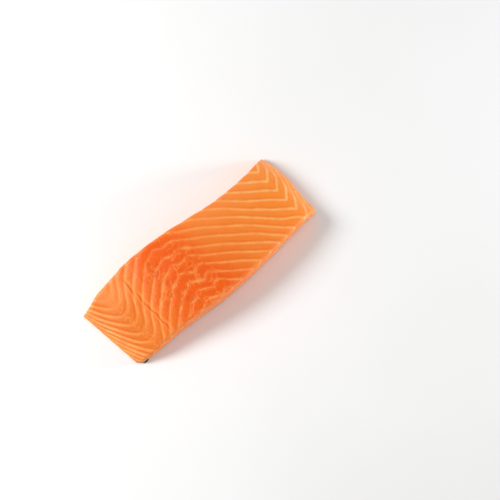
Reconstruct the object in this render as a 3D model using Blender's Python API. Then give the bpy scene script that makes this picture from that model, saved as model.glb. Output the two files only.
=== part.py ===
# Raw salmon portion, skin side down.
# A crosswise cut of a fillet: a thin belly end at -X, a thick rounded back end at +X.
# Metres, +Z up. The two long faces are knife cuts, and the top shows the flakes edge on.
import bpy
import bmesh
import numpy as np

for leftover in list(bpy.data.objects):
    bpy.data.objects.remove(leftover, do_unlink=True)

MM = 0.001

# Driving dimensions, in millimetres

SKIN_THICKNESS = 0.9
SKIN_GAP = 0.3
SKIN_INSET = 0.45
BELLY_END = -86.4
BACK_END = 89.7
EDGE_RADIUS = 2.0
WALL_BULGE = 0.45
FLAKE_GROOVE = 0.24
BELLY_GROOVE = 0.6
CLEFT_DEPTH = 1.1
CLEFT_HALF_WIDTH = 0.62
ROWS_PER_FLAKE = 4
SEED = 11

# Far edge of the cut, seen from above: place along the portion, place across it

FAR_EDGE = (
    (-91, 26.8), (-87, 27.3), (-83, 27.8), (-79.5, 28.5), (-74, 30.0), (-68, 30.9), (-56, 32.0),
    (-44, 32.8), (-30, 32.0), (-16, 30.8), (-4, 29.4), (8, 27.3), (20, 25.3), (30, 23.8),
    (44, 22.9), (60, 23.1), (70, 24.0), (78, 25.7), (84, 27.4), (91, 29.0),
)

# Near edge, which starts with a corner trimmed off the belly end

NEAR_EDGE = (
    (-83, -24.2), (-81.4, -26.4), (-80, -27.5), (-78.6, -27.9), (-76.6, -27.8), (-74.6, -28.2),
    (-71, -28.8), (-60, -29.2), (-44, -29.7), (-26, -31.2), (-6, -33.1), (12, -33.4), (34, -32.5),
    (52, -31.5), (70, -30.0), (91, -28.6),
)

# Near edge of the skin, whose belly corner was not trimmed with the flesh

SKIN_NEAR_EDGE = (
    (-84, -24.0), (-81.6, -26.0), (-80, -27.4), (-78.8, -28.6), (-77.4, -29.2), (-75.9, -28.9),
    (-74, -28.0), (-71, -28.4), (-60, -28.8), (-44, -29.2), (-26, -30.7), (-6, -32.6), (12, -32.9),
    (34, -32.0), (52, -31.0), (70, -29.5), (91, -28.1),
)

# Height of the top over the table along the middle of the portion

TOP_HEIGHT = (
    (-86.4, 2.7), (-84.5, 4.4), (-82, 6.8), (-79, 9.4), (-75, 11.8), (-70, 13.8), (-60, 16.8),
    (-48, 20.4), (-34, 24.0), (-15, 26.4), (5, 27.0), (30, 26.4), (54, 24.4), (66, 22.4),
    (75, 19.4), (81, 15.4), (85, 11.0), (88, 6.4), (89.7, 2.9),
)

# Lean of the grain: how far a line across the portion slants, per millimetre across

LEAN = ((-88, 0.125), (-66, 0.12), (-50, 0.03), (-38, 0.03), (-22, 0.09), (-9, 0.15), (8, 0.06), (90, 0.06))

# How far the back end falls back, or stands out where negative, by place across

BACK_ROUNDING = (
    (-30, 2.6), (-26, 1.7), (-20, 1.6), (-14, 1.1), (-6, 0.4), (0, -0.6), (8, -1.0), (14, -0.7),
    (20, -0.4), (28, 1.4),
)

# Flake count along the middle line: each whole number is one sheet of fat between two flakes

FLAKE_COUNT = (
    (-91, -4.5), (-88.5, -2.7), (-86, -1.1), (-83.5, 0.05), (-81, 1.0), (-77.5, 2.0),
    (-72.8, 2.98), (-69.5, 3.34), (-67.6, 3.47), (-66.3, 3.51), (-65, 3.45), (-63, 3.29), (-60, 2.97), (-54.5, 2.06),
    (-46.5, 1.12), (-41, 0.55), (-36, 0.08), (-31, -0.34), (-26, -0.54), (-22.5, -0.7),
    (-19, -0.92), (-16, -0.69), (-13, -0.53), (-10.5, -0.52), (-7.5, -0.56), (-5, -0.51),
    (0.8, 0.08), (12, 1.06), (23.5, 2.1), (33.5, 3.06), (42.8, 4.03), (52.2, 5.03), (61.8, 6.0),
    (68, 6.45), (72.5, 6.82), (74.6, 6.99), (75.3, 7.02), (76.2, 6.95), (78.4, 6.7), (82.8, 6.1),
    (87.2, 4.8), (90, 4.1),
)

# Thickness of one flake across the portion

FLAKE_PITCH = (
    (-88, 9.3), (-74, 9.3), (-64, 8.8), (-54, 9.5), (-32, 9.2), (-12, 8.7), (30, 8.45),
    (41, 8.35), (52, 8.6), (68, 9.6), (90, 9.9),
)

# Toward the near side the last bend of the zigzag lies further back

LAST_BEND = 0.3
CORNER_BEND = 2.0

# The middle seam folds the sheets down toward the near side only

SEAM_PLACE = -10.4
SEAM_FOLD = 0.3
SEAM_HALF_WIDTH = 2.6

# Cleft where the belly flap meets the loin: two overlapping tears, as place across and along

UPPER_TEAR = ((10.5, -52.0), (15, -51.5), (20, -50.9), (23, -50.6))
LOWER_TEAR = (
    (-27, -51.2), (-20.5, -50.2), (-17.5, -50.9), (-10.5, -50.2), (-6.5, -51.0),
    (-2, -50.9), (2, -51.4), (6, -50.7), (11, -50.1),
)

# Small pits left by the pin bones: place along, place across, depth

PIN_BONE_PITS = ((-30.6, 18.6, 1.0), (-30.9, 9.8, 1.1), (-29.4, 0.2, 1.1), (-27.8, -9.6, 0.7), (-26.4, -18.4, 0.8))
PIT_RADIUS = 1.5

# Spacing of the lines of points, closest where the surface bends most

SPACING = (
    (-86.4, 0.6), (-80, 0.85), (-76, 1.3), (-68, 1.8), (-58, 1.8), (-54, 0.95), (-52.5, 0.62), (-48.5, 0.62),
    (-46, 1.4), (-40, 2.2), (-32, 1.5), (-26, 1.5), (-14, 1.4), (-4, 1.6), (4, 3.0), (64, 3.0),
    (71, 1.7), (79, 1.3), (86, 0.9), (89.7, 0.65),
)


# Curves and small helpers

def through(stations, at):
    """Smooth curve through the stations, flat beyond them."""
    place, value = np.array(stations, float).T
    at = np.clip(np.asarray(at, float), place[0], place[-1])
    slope = np.gradient(value, place)
    start = np.clip(np.searchsorted(place, at) - 1, 0, len(place) - 2)
    step = place[start + 1] - place[start]
    t = (at - place[start]) / step
    curve = (1 + 2 * t) * (1 - t) ** 2 * value[start]
    curve += t * (1 - t) ** 2 * step * slope[start]
    curve += t * t * (3 - 2 * t) * value[start + 1]
    curve += t * t * (t - 1) * step * slope[start + 1]
    return curve


def ease(low, high, at):
    """0 below low, 1 above high, smooth between; low may be the larger."""
    t = np.clip((np.asarray(at, float) - low) / (high - low), 0, 1)
    return t * t * (3 - 2 * t)


def waves(along, across, scale, seed):
    """Gentle unevenness between about -1 and 1, from a few crossing waves."""
    draw = np.random.default_rng(seed)
    total = 0.0
    for _ in range(5):
        angle = draw.uniform(0, np.pi)
        length = scale * draw.uniform(0.7, 1.6)
        shift = draw.uniform(0, 2 * np.pi)
        total = total + np.sin((along * np.cos(angle) + across * np.sin(angle)) * 2 * np.pi / length + shift)
    return total / 3.0


# The plan of the portion

def along_of(grain, across):
    """Place along the portion of a point on one grain line."""
    back = ease(72, BACK_END, grain)
    return grain - through(LEAN, grain) * across - back * through(BACK_ROUNDING, across)


def edge_of(stations, grain):
    """Where one grain line meets an edge of the cut."""
    across = through(stations, grain)
    for _ in range(6):
        across = through(stations, along_of(grain, across))
    return across


# The flakes

def flake_level(grain, across):
    """Whole numbers on the sheets of fat, halves in the middle of a flake."""
    fold = SEAM_FOLD * np.exp(-((grain - SEAM_PLACE) / SEAM_HALF_WIDTH) ** 2) * ease(7, -8, across)
    wobble = 0.05 * waves(grain, across, 26, SEED)
    bent = grain - ease(64, 74, grain) * (LAST_BEND + CORNER_BEND * ease(-8, -30, across))
    return through(FLAKE_COUNT, bent) + across / through(FLAKE_PITCH, grain) + fold + wobble


def tear(stations, grain, across):
    """Depth share of one tear of the cleft, 1 along its bottom."""
    low, high = stations[0][0], stations[-1][0]
    reach = ease(low - 3, low + 4, across) * ease(high + 3, high - 4, across)
    return reach * np.exp(-((grain - through(stations, across)) / CLEFT_HALF_WIDTH) ** 2)


def relief(grain, across):
    """Height added to the smooth top by flakes, cleft and pits."""
    to_sheet = np.abs(flake_level(grain, across) - np.round(flake_level(grain, across)))
    belly = ease(-72, -82, grain)
    depth = FLAKE_GROOVE + (BELLY_GROOVE - FLAKE_GROOVE) * belly
    height = -depth * (1 - ease(0.0, 0.36, to_sheet))
    height = height - CLEFT_DEPTH * tear(UPPER_TEAR, grain, across)
    height = height - 0.85 * CLEFT_DEPTH * tear(LOWER_TEAR, grain, across)
    height = height - 0.35 * ease(-47, -51, grain) * ease(-66, -53, grain)
    for place, side, pit in PIN_BONE_PITS:
        away = (along_of(grain, across) - place) ** 2 + (across - side) ** 2
        height = height - pit * np.exp(-away / PIT_RADIUS ** 2)
    return height + 0.28 * waves(grain, across, 34, SEED + 1)


def top_height(grain, across):
    """Height of the smooth top, a little domed across."""
    near, far = edge_of(NEAR_EDGE, grain), edge_of(FAR_EDGE, grain)
    middle, half = (near + far) / 2, (far - near) / 2
    thick = through(TOP_HEIGHT, grain)
    dome = 0.02 * thick * ((across - middle) / half) ** 2
    return thick - dome


# The flesh: lines of points across the portion, stitched flake to flake

FLOOR = SKIN_THICKNESS + SKIN_GAP

grain_lines = [BELLY_END]
while grain_lines[-1] < BACK_END:
    grain_lines.append(grain_lines[-1] + float(through(SPACING, grain_lines[-1])))
grain_lines = np.interp(grain_lines, (BELLY_END, grain_lines[-1]), (BELLY_END, BACK_END))

points = []
faces = []


def add_point(along, across, height):
    points.append((along * MM, across * MM, height * MM))
    return len(points) - 1


def add_column(grain):
    """One line of points from the near edge to the far edge."""
    near, far = float(edge_of(NEAR_EDGE, grain)), float(edge_of(FAR_EDGE, grain))
    radius = min(EDGE_RADIUS, 0.42 * (float(through(TOP_HEIGHT, grain)) - FLOOR))
    turn = np.radians((0, 30, 60, 90))
    inward, drop = radius * (1 - np.cos(turn)), radius * (1 - np.sin(turn))
    fine = np.linspace(near + radius, far - radius, 400)
    levels = flake_level(grain, fine)
    steps = np.arange(np.ceil(levels[0] * ROWS_PER_FLAKE), levels[-1] * ROWS_PER_FLAKE) / ROWS_PER_FLAKE
    rows = np.interp(steps, levels, fine)
    rows = rows[(rows > near + radius + 0.7) & (rows < far - radius - 0.7)]
    across = np.concatenate([near + inward, rows, (far - inward)[::-1]])
    lowered = np.concatenate([drop, 0 * rows, drop[::-1]])
    height = np.maximum(top_height(grain, across) + relief(grain, across) - lowered, FLOOR + 0.5)
    index = [add_point(*place) for place in zip(along_of(grain, across), across, height)]
    return index, flake_level(grain, across)


def stitch(left, left_level, right, right_level):
    """Triangles between two neighbouring lines, each flake joined to itself."""
    i = j = 0
    while i < len(left) - 1 or j < len(right) - 1:
        left_next = left_level[i + 1] if i < len(left) - 1 else np.inf
        right_next = right_level[j + 1] if j < len(right) - 1 else np.inf
        if left_next <= right_next:
            faces.append((left[i], right[j], left[i + 1]))
            i += 1
        else:
            faces.append((left[i], right[j], right[j + 1]))
            j += 1


EDGE_ROWS = 3
columns = [add_column(grain) for grain in grain_lines]
for (left, left_level), (right, right_level) in zip(columns, columns[1:]):
    for row in range(EDGE_ROWS):
        faces.append((left[row], right[row], right[row + 1], left[row + 1]))
        faces.append((left[-row - 2], right[-row - 2], right[-row - 1], left[-row - 1]))
    inner = slice(EDGE_ROWS, -EDGE_ROWS)
    stitch(left[inner], left_level[inner], right[inner], right_level[inner])

# The cut faces and the flat underside

rim = [column[0][0] for column in columns]
rim += columns[-1][0][1:-1]
rim += [column[0][-1] for column in reversed(columns)]
rim += columns[0][0][-2:0:-1]
rim_places = np.array([points[corner] for corner in rim]) / MM
forward = np.roll(rim_places, -1, axis=0) - np.roll(rim_places, 1, axis=0)
outward = np.stack([forward[:, 1], -forward[:, 0]], axis=1)
outward /= np.linalg.norm(outward, axis=1)[:, None]

ring = rim
for share in (0.5, 0.0):
    lower = []
    for place, away in zip(rim_places, outward):
        tall = place[2] - FLOOR
        bulge = WALL_BULGE * min(1, tall / 8) * (1 if share else -0.6)
        ripple = 0.12 * min(1, tall / 8) * float(waves(place[0], place[1], 22, SEED + 2))
        side = place[:2] + away * (bulge + ripple)
        lower.append(add_point(side[0], side[1], FLOOR + share * tall))
    for k in range(len(ring)):
        after = (k + 1) % len(ring)
        faces.append((ring[after], ring[k], lower[k], lower[after]))
    ring = lower
faces.append(tuple(reversed(ring)))

# The skin: one thin flat sheet under the flesh

skin_lines = np.concatenate([
    np.linspace(BELLY_END + 0.3, BELLY_END + 8, 9), np.linspace(BELLY_END + 12, BACK_END - 9, 38),
    np.linspace(BACK_END - 6, BACK_END - 1.0, 4),
])
skin_near = edge_of(SKIN_NEAR_EDGE, skin_lines)
skin_far = edge_of(FAR_EDGE, skin_lines) - SKIN_INSET
back_rows = np.linspace(skin_near[-1], skin_far[-1], 14)[1:-1]
belly_rows = np.linspace(skin_near[0], skin_far[0], 14)[1:-1]
outline = [(along_of(g, a), a) for g, a in zip(skin_lines, skin_near)]
outline += [(along_of(skin_lines[-1], a), a) for a in back_rows]
outline += [(along_of(g, a), a) for g, a in zip(skin_lines[::-1], skin_far[::-1])]
outline += [(along_of(skin_lines[0], a), a) for a in belly_rows[::-1]]
skin_points = [(float(x) * MM, float(y) * MM, 0.0) for x, y in outline]
skin_points += [(x, y, SKIN_THICKNESS * MM) for x, y, _ in skin_points]
count = len(outline)
skin_faces = [tuple(range(count, 2 * count)), tuple(reversed(range(count)))]
skin_faces += [(k, (k + 1) % count, (k + 1) % count + count, k + count) for k in range(count)]

# Centre both pieces over the origin

everything = np.array(points + skin_points)
centre = (everything.min(axis=0) + everything.max(axis=0)) / 2
centre[2] = 0.0


def add_piece(name, piece_points, piece_faces, material):
    mesh = bpy.data.meshes.new(name)
    mesh.from_pydata([tuple(np.array(p) - centre) for p in piece_points], [], piece_faces)
    work = bmesh.new()
    work.from_mesh(mesh)
    bmesh.ops.recalc_face_normals(work, faces=work.faces)
    work.to_mesh(mesh)
    work.free()
    mesh.materials.append(material)
    mesh.shade_smooth()
    mesh.set_sharp_from_angle(angle=np.radians(50))
    piece = bpy.data.objects.new(name, mesh)
    bpy.context.scene.collection.objects.link(piece)
    return piece


def finish(name, colour, roughness):
    material = bpy.data.materials.new(name)
    material.use_nodes = True
    shader = material.node_tree.nodes["Principled BSDF"]
    shader.inputs["Base Color"].default_value = (*colour, 1)
    shader.inputs["Roughness"].default_value = roughness
    shader.inputs["Metallic"].default_value = 0.0
    return material


flesh_finish = finish("salmon_flesh", (0.913, 0.238, 0.061), 0.42)
skin_finish = finish("salmon_skin", (0.105, 0.108, 0.104), 0.35)
add_piece("flesh", points, faces, flesh_finish)
add_piece("skin", skin_points, skin_faces, skin_finish)
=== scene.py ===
# %% [markdown]
# # A raw salmon portion, lying on its skin
#
# The real thing is one crosswise cut of a fillet. The knife leaves two long upright faces, the belly
# end thins out to nothing much, and the back end rolls over in a thick shoulder. The top is where the
# fillet was lifted off the bones, and it shows the flakes edge on: bands of orange muscle with thin
# pale sheets of fat between them, which run in a zigzag.
#
# The imported solids are loaded first. They fix the size and the place of everything that follows, so
# the box that they fill is kept here.

import math

import bmesh
import bpy
import numpy as np
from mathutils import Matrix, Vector


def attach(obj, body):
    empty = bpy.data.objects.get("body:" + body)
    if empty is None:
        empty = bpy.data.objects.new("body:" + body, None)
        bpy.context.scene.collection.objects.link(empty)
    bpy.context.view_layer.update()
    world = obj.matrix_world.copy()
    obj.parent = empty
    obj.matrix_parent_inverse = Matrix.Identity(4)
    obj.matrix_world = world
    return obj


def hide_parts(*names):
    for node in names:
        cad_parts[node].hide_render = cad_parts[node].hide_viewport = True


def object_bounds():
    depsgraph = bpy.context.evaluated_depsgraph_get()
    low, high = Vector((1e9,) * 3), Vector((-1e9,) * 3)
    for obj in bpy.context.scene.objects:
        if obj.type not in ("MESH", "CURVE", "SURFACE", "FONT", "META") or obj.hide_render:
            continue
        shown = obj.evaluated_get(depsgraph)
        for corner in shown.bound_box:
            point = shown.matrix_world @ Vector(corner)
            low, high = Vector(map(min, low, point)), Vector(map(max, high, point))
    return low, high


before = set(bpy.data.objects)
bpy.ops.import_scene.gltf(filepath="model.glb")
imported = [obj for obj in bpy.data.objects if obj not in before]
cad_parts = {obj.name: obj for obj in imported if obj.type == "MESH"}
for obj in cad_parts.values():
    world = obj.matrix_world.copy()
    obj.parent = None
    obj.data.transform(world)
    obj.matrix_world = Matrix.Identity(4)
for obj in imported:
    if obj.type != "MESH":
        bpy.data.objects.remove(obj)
cad_low, cad_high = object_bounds()
MM = 0.001
print("solids:", sorted(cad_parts))
print("box in mm:", [round(side / MM, 1) for side in cad_high - cad_low])

# %% [markdown]
# ## Curves from a few stations
#
# A fillet has no straight lines, but it has few surprises either. Its outline, its thickness and the
# count of its flakes are each drawn as a smooth curve through a few stations, a place in millimetres
# and a value there. One helper reads such a curve, and three more give soft steps, bells and gentle
# unevenness. A spline object could hold the same curves, but a function can also be asked for a slope.

# %% Curve helpers


def through(stations, at):
    """Smooth curve through the stations, flat beyond them."""
    place, value = np.array(stations, float).T
    at = np.clip(np.asarray(at, float), place[0], place[-1])
    slope = np.gradient(value, place)
    start = np.clip(np.searchsorted(place, at) - 1, 0, len(place) - 2)
    step = place[start + 1] - place[start]
    t = (at - place[start]) / step
    curve = (1 + 2 * t) * (1 - t) ** 2 * value[start]
    curve += t * (1 - t) ** 2 * step * slope[start]
    curve += t * t * (3 - 2 * t) * value[start + 1]
    curve += t * t * (t - 1) * step * slope[start + 1]
    return curve


def ease(low, high, at):
    """0 before low, 1 past high, smooth between; low may be the larger."""
    t = np.clip((np.asarray(at, float) - low) / (high - low), 0, 1)
    return t * t * (3 - 2 * t)


def bell(at, middle, half_width):
    """1 at the middle, falling softly to nothing on both sides."""
    return np.exp(-((at - middle) / half_width) ** 2)


def waves(along, across, scale, seed):
    """Gentle unevenness between about -1 and 1, from a few crossing waves."""
    draw = np.random.default_rng(seed)
    total = 0.0
    for _ in range(5):
        angle = draw.uniform(0, np.pi)
        length = scale * draw.uniform(0.7, 1.6)
        start = draw.uniform(0, 2 * np.pi)
        toward = along * np.cos(angle) + across * np.sin(angle)
        total = total + np.sin(toward * 2 * np.pi / length + start)
    return total / 3.0


print("halfway between stations 0 and 2:", through(((0, 0), (1, 1), (2, 0)), 0.5))

# %% [markdown]
# ## The plan and the height
#
# The portion is measured the way a cook would lay it down: `grain` counts millimetres from the belly
# end to the back end along the middle, and `across` counts from the near cut face to the far one. A
# grain line leans a little as it crosses the portion, because the fish was cut on a slant. Everything
# else, flakes included, is told in these two numbers, so one change of lean carries all of it along.

# %% Stations of the outline and of the top
BELLY_END, BACK_END = -86.4, 89.7
SKIN_THICKNESS = 0.9
SEED = 11

FAR_EDGE = (
    (-91, 26.8), (-87, 27.3), (-83, 27.8), (-79.5, 28.5), (-74, 30.0), (-68, 30.9), (-56, 32.0),
    (-44, 32.8), (-30, 32.0), (-16, 30.8), (-4, 29.4), (8, 27.3), (20, 25.3), (30, 23.8),
    (44, 22.9), (60, 23.1), (70, 24.0), (78, 25.7), (84, 27.4), (91, 29.0),
)
NEAR_EDGE = (
    (-83, -24.2), (-81.4, -26.4), (-80, -27.5), (-78.6, -27.9), (-76.6, -27.8), (-74.6, -28.2),
    (-71, -28.8), (-60, -29.2), (-44, -29.7), (-26, -31.2), (-6, -33.1), (12, -33.4), (34, -32.5),
    (52, -31.5), (70, -30.0), (91, -28.6),
)
SKIN_NEAR_EDGE = (
    (-84, -24.0), (-81.6, -26.0), (-80, -27.4), (-78.8, -28.6), (-77.4, -29.2), (-75.9, -28.9),
    (-74, -28.0), (-71, -28.4), (-60, -28.8), (-44, -29.2), (-26, -30.7), (-6, -32.6), (12, -32.9),
    (34, -32.0), (52, -31.0), (70, -29.5), (91, -28.1),
)
TOP_HEIGHT = (
    (-86.4, 2.7), (-84.5, 4.4), (-82, 6.8), (-79, 9.4), (-75, 11.8), (-70, 13.8), (-60, 16.8),
    (-48, 20.4), (-34, 24.0), (-15, 26.4), (5, 27.0), (30, 26.4), (54, 24.4), (66, 22.4),
    (75, 19.4), (81, 15.4), (85, 11.0), (88, 6.4), (89.7, 2.9),
)
LEAN = (
    (-88, 0.125), (-66, 0.12), (-50, 0.03), (-38, 0.03), (-22, 0.09), (-9, 0.15), (8, 0.06), (90, 0.06),
)
BACK_ROUNDING = (
    (-30, 2.6), (-26, 1.7), (-20, 1.6), (-14, 1.1), (-6, 0.4), (0, -0.6), (8, -1.0), (14, -0.7),
    (20, -0.4), (28, 1.4),
)
ROUNDED_FROM = 72
DOME_SHARE = 0.02
SWELL, SWELL_LENGTH = 0.28, 34

# %% Places and heights on the portion


def along_of(grain, across):
    """Place along the portion of a point on one grain line."""
    back = ease(ROUNDED_FROM, BACK_END, grain)
    return grain - through(LEAN, grain) * across - back * through(BACK_ROUNDING, across)


def edge_of(stations, grain):
    """Where one grain line meets an edge of the cut, found in a few rounds."""
    across = through(stations, grain)
    for _ in range(6):
        across = through(stations, along_of(grain, across))
    return across


def top_height(grain, across):
    """Height of the top, a little domed across and gently uneven, before the flakes."""
    near, far = edge_of(NEAR_EDGE, grain), edge_of(FAR_EDGE, grain)
    middle, half = (near + far) / 2, (far - near) / 2
    thick = through(TOP_HEIGHT, grain)
    dome = DOME_SHARE * thick * ((across - middle) / half) ** 2
    return thick - dome + SWELL * waves(grain, across, SWELL_LENGTH, SEED + 1)


print("width at the middle:", round(float(edge_of(FAR_EDGE, 0) - edge_of(NEAR_EDGE, 0)), 1), "mm")

# %% [markdown]
# ## Counting the flakes
#
# A fish's muscle comes in folded layers. Where a cut crosses them, the sheets of fat between the
# layers show as a W lying on its side. Instead of drawing each line, the flakes are counted: `sheet`
# is a number that passes a whole number at every sheet of fat. Along the middle it follows one curve,
# which falls and rises with the zigzag, and across the portion it grows by one per flake. Grooves,
# pale lines and flecks of fat can all be made from this one number, and they always agree.

# %% Flake count
FLAKE_COUNT = (
    (-91, -4.5), (-88.5, -2.7), (-86, -1.1), (-83.5, 0.05), (-81, 1.0), (-77.5, 2.0),
    (-72.8, 2.98), (-69.5, 3.34), (-67.6, 3.47), (-66.3, 3.51), (-65, 3.45), (-63, 3.29),
    (-60, 2.97), (-54.5, 2.06), (-46.5, 1.12), (-41, 0.55), (-36, 0.08), (-31, -0.34),
    (-26, -0.54), (-22.5, -0.7), (-19, -0.92), (-16, -0.69), (-13, -0.53), (-10.5, -0.52),
    (-7.5, -0.56), (-5, -0.51), (0.8, 0.08), (12, 1.06), (23.5, 2.1), (33.5, 3.06),
    (42.8, 4.03), (52.2, 5.03), (61.8, 6.0), (68, 6.45), (72.5, 6.82), (74.6, 6.99),
    (75.3, 7.02), (76.2, 6.95), (78.4, 6.7), (82.8, 6.1), (87.2, 4.8), (90, 4.1),
)
FLAKE_PITCH = (
    (-88, 9.3), (-74, 9.3), (-64, 8.8), (-54, 9.5), (-32, 9.2), (-12, 8.7), (30, 8.45),
    (41, 8.35), (52, 8.6), (68, 9.6), (90, 9.9),
)
LAST_BEND, CORNER_BEND = 0.3, 2.0
LAST_BEND_FROM, LAST_BEND_TO = 64, 74
SEAM_PLACE, SEAM_FOLD, SEAM_HALF_WIDTH = -10.4, 0.3, 2.6
WOBBLE, WOBBLE_LENGTH = 0.05, 26
SLOPE_STEP = 0.4


def flake_sheet(grain, across):
    """Whole numbers on the sheets of fat, halves in the middle of a flake."""
    fold = SEAM_FOLD * bell(grain, SEAM_PLACE, SEAM_HALF_WIDTH) * ease(7, -8, across)
    wobble = WOBBLE * waves(grain, across, WOBBLE_LENGTH, SEED)
    bend = LAST_BEND + CORNER_BEND * ease(-8, -30, across)
    bent = grain - ease(LAST_BEND_FROM, LAST_BEND_TO, grain) * bend
    return through(FLAKE_COUNT, bent) + across / through(FLAKE_PITCH, grain) + fold + wobble


def flake_thickness(grain, across):
    """Millimetres from one sheet of fat to the next, square to them."""
    behind, ahead = (flake_sheet(grain + step, across) for step in (-SLOPE_STEP, SLOPE_STEP))
    nearer, farther = (flake_sheet(grain, across + step) for step in (-SLOPE_STEP, SLOPE_STEP))
    by_grain = (ahead - behind) / (2 * SLOPE_STEP)
    by_across = (farther - nearer) / (2 * SLOPE_STEP) + by_grain * through(LEAN, grain)
    return 1 / np.maximum(np.hypot(by_grain, by_across), 0.05)


for place in (-84, -50, 40):
    print("flake at", place, "mm:", round(float(flake_thickness(place, 0.0)), 1), "mm thick")

# %% [markdown]
# ## Where the flesh is torn or pitted
#
# Two overlapping tears run across the portion where the belly flap meets the loin, and a row of small
# pits marks where the pin bones were pulled. Between them the sheets of fat are broken up into short
# pieces and flecks. Each of these is a soft mask between 0 and 1, kept on the points of the mesh, so
# that the relief and the colour can both use it.

# %% Masks of tears, pits and flecks
CLEFT_DEPTH, CLEFT_HALF_WIDTH, LIP_ASIDE = 1.1, 0.62, 1.5
UPPER_TEAR = ((10.5, -52.0), (15, -51.5), (20, -50.9), (23, -50.6))
LOWER_TEAR = (
    (-27, -51.2), (-20.5, -50.2), (-17.5, -50.9), (-10.5, -50.2), (-6.5, -51.0),
    (-2, -50.9), (2, -51.4), (6, -50.7), (11, -50.1),
)
TEARS, LOWER_TEAR_SHARE = (UPPER_TEAR, LOWER_TEAR), 0.85
PIN_BONE_PITS = (
    (-30.6, 18.6, 1.0), (-30.9, 9.8, 1.1), (-29.4, 0.2, 1.1), (-27.8, -9.6, 0.7), (-26.4, -18.4, 0.8),
)
PIT_RADIUS = 1.5
KNOT_SHARE, KNOT_HALF_WIDTH = 0.14, 2.4
BONE_LINE, BONE_LINE_HALF_WIDTH, BONE_LINE_WANDER = -36, 1.8, 1.5


def tear(stations, grain, across, aside=0.0):
    """Share of the depth of one tear: 1 along its bottom, or along a line a little aside of it."""
    low, high = stations[0][0], stations[-1][0]
    reach = ease(low - 3, low + 4, across) * ease(high + 3, high - 4, across)
    return reach * bell(np.abs(grain - through(stations, across)), aside, CLEFT_HALF_WIDTH)


def cleft_mask(grain, across):
    """The bottoms of both tears."""
    upper, lower = (tear(stations, grain, across) for stations in TEARS)
    return np.maximum(upper, LOWER_TEAR_SHARE * lower)


def lip_mask(grain, across):
    """The pale lips on either side of the tears."""
    return np.maximum(*(tear(stations, grain, across, LIP_ASIDE) for stations in TEARS))


def pit_mask(grain, across):
    """The pits that the pin bones left."""
    total = 0.0
    for place, side, depth in PIN_BONE_PITS:
        away = (along_of(grain, across) - place) ** 2 + (across - side) ** 2
        total = total + depth * np.exp(-away / PIT_RADIUS ** 2)
    return total


def loose_mask(grain):
    """1 between the pin bones and the middle seam, where the sheets of fat are broken up."""
    return ease(-47, -40, grain) * ease(6, -3, grain)


def fleck_mask(grain, across):
    """Knots of fat where a sheet crosses the seam or the pin-bone line."""
    sheet = flake_sheet(grain, across)
    on_sheet = bell(sheet, np.round(sheet), KNOT_SHARE)
    seam = bell(grain, SEAM_PLACE, KNOT_HALF_WIDTH)
    bone_place = BONE_LINE + BONE_LINE_WANDER * waves(grain, across, 9, SEED + 4)
    bone_line = bell(grain, bone_place, BONE_LINE_HALF_WIDTH)
    return on_sheet * np.clip(seam + 0.8 * bone_line, 0, 1)


print("pits:", len(PIN_BONE_PITS), "deepest", max(depth for _, _, depth in PIN_BONE_PITS), "mm")

# %% [markdown]
# ## The slab of flesh
#
# A voxel remesh or a dense grid would blur the thin sheets of fat, or need a million faces to keep
# them. Here each grain line gets its points exactly where the flake count passes chosen shares of a
# flake, close together at the sheets and sparse in the muscle. Neighbouring lines are then stitched
# flake to flake, so the edges of the mesh run along the sheets of fat.

# %% Choose the lines of points
LINE_SPACING = (
    (-86.4, 0.26), (-80, 0.34), (-74, 0.55), (-54, 0.5), (-52.5, 0.27), (-48.5, 0.27),
    (-46, 0.6), (90, 0.7),
)
FLAKE_SHARES = (0.0, 0.05, 0.12, 0.22, 0.36, 0.5, 0.64, 0.78, 0.88, 0.95)
EDGE_RADIUS, EDGE_TURNS = 2.0, (0, 18, 36, 54, 72, 90)
EDGE_SHARE = 0.42
ROW_CLEARANCE = 0.25
FLOOR = SKIN_THICKNESS - 0.05
THINNEST = 0.8

grain_lines = [BELLY_END]
while grain_lines[-1] < BACK_END:
    grain_lines.append(grain_lines[-1] + float(through(LINE_SPACING, grain_lines[-1])))
grain_lines = np.interp(grain_lines, (BELLY_END, grain_lines[-1]), (BELLY_END, BACK_END))
print("lines of points:", len(grain_lines))

# %% Build one line of points


def flesh_line(grain):
    """Points across one grain line: place, drop at the rounded edge, distance from a cut face."""
    near, far = float(edge_of(NEAR_EDGE, grain)), float(edge_of(FAR_EDGE, grain))
    side_height = float(through(TOP_HEIGHT, grain)) - SKIN_THICKNESS - 0.3
    radius = min(EDGE_RADIUS, EDGE_SHARE * side_height)
    turn = np.radians(EDGE_TURNS)
    inward, drop = radius * (1 - np.cos(turn)), radius * (1 - np.sin(turn))
    fine = np.linspace(near + radius, far - radius, 600)
    sheets = flake_sheet(grain, fine)
    whole = np.arange(np.floor(sheets[0]), np.ceil(sheets[-1]) + 1)
    steps = (whole[:, None] + np.array(FLAKE_SHARES)[None, :]).ravel()
    rows = np.interp(steps, sheets, fine, left=near, right=far)
    rows = rows[(rows > near + radius + ROW_CLEARANCE) & (rows < far - radius - ROW_CLEARANCE)]
    across = np.concatenate([near + inward, rows, (far - inward)[::-1]])
    lowered = np.concatenate([drop, 0 * rows, drop[::-1]])
    return across, lowered, np.minimum(across - near, far - across)


sample = flesh_line(40.0)
print("points on the line at 40 mm:", len(sample[0]))

# %% Stitch the lines into a top
EDGE_ROWS = len(EDGE_TURNS) - 1
points, faces, notes = [], [], []


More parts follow.
